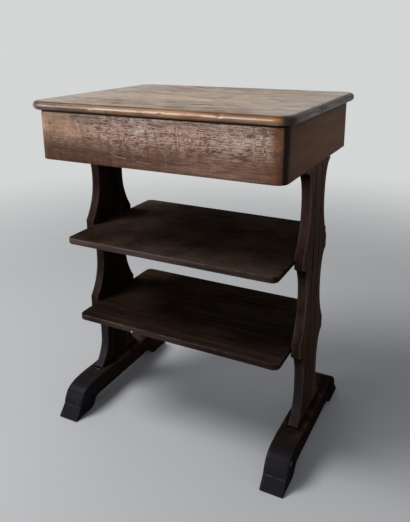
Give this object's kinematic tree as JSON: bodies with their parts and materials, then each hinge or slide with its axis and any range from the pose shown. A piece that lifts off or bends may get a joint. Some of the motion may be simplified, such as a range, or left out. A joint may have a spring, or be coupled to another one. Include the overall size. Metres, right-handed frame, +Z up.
{
  "type": "book table",
  "caption": "Small dark wooden book table: a shallow lift-lid box over open shelves, on scroll-cut plate legs with long sled feet.",
  "frame": {"origin": "on the floor, midway between the feet and midway between the lid's front and back edges", "axes": "+Z up, +X to the table's right as seen from the front, the front faces -Y"},
  "size_m": [0.553, 0.44, 0.74],
  "materials": {
    "lid_wood": "worn varnish over brown wood",
    "apron_wood": "scratched red-brown varnish",
    "dark_wood": "very dark stain, satin",
    "inner_wood": "bare, unpolished",
    "dowel_wood": "bare, turned",
    "hinge_brass": "aged",
    "screw_steel": "dull"
  },
  "bodies": {
    "frame": {"box_back": "apron_wood", "box_bottom": "inner_wood", "box_front": "apron_wood", "box_side_left": "apron_wood", "box_side_right": "apron_wood", "corner_block_left_back": "inner_wood", "corner_block_left_front": "inner_wood", "corner_block_right_back": "inner_wood", "corner_block_right_front": "inner_wood", "foot_left": "dark_wood", "foot_right": "dark_wood", "foot_screw_left_back": "screw_steel", "foot_screw_left_front": "screw_steel", "foot_screw_right_back": "screw_steel", "foot_screw_right_front": "screw_steel", "hinge_box_leaf_left": "hinge_brass", "hinge_box_leaf_right": "hinge_brass", "hinge_box_screw_left_inner": "screw_steel", "hinge_box_screw_left_outer": "screw_steel", "hinge_box_screw_right_inner": "screw_steel", "hinge_box_screw_right_outer": "screw_steel", "hinge_pin_left": "hinge_brass", "hinge_pin_right": "hinge_brass", "leg_dowel_left_back": "dowel_wood", "leg_dowel_left_front": "dowel_wood", "leg_dowel_right_back": "dowel_wood", "leg_dowel_right_front": "dowel_wood", "leg_left": "dark_wood", "leg_right": "dark_wood", "shelf_dowel_lower_left_back": "dowel_wood", "shelf_dowel_lower_left_front": "dowel_wood", "shelf_dowel_lower_right_back": "dowel_wood", "shelf_dowel_lower_right_front": "dowel_wood", "shelf_dowel_upper_left_back": "dowel_wood", "shelf_dowel_upper_left_front": "dowel_wood", "shelf_dowel_upper_right_back": "dowel_wood", "shelf_dowel_upper_right_front": "dowel_wood", "shelf_lower": "dark_wood", "shelf_upper": "dark_wood"},
    "lid": {"batten_screw_left_front": "screw_steel", "batten_screw_left_middle": "screw_steel", "batten_screw_left_rear": "screw_steel", "batten_screw_right_front": "screw_steel", "batten_screw_right_middle": "screw_steel", "batten_screw_right_rear": "screw_steel", "hinge_lid_leaf_left": "hinge_brass", "hinge_lid_leaf_right": "hinge_brass", "hinge_lid_screw_left_inner": "screw_steel", "hinge_lid_screw_left_outer": "screw_steel", "hinge_lid_screw_right_inner": "screw_steel", "hinge_lid_screw_right_outer": "screw_steel", "lid_batten_left": "inner_wood", "lid_batten_right": "inner_wood", "lid_board_front": "lid_wood", "lid_board_middle": "lid_wood", "lid_board_rear": "lid_wood"}
  },
  "joints": [
    {"name": "lid_hinge", "type": "hinge", "parent": "frame", "child": "lid", "pos_m": [0, 0.2095, 0.7227], "axis": [-1, 0, 0], "range_deg": [0, 100]}
  ]
}
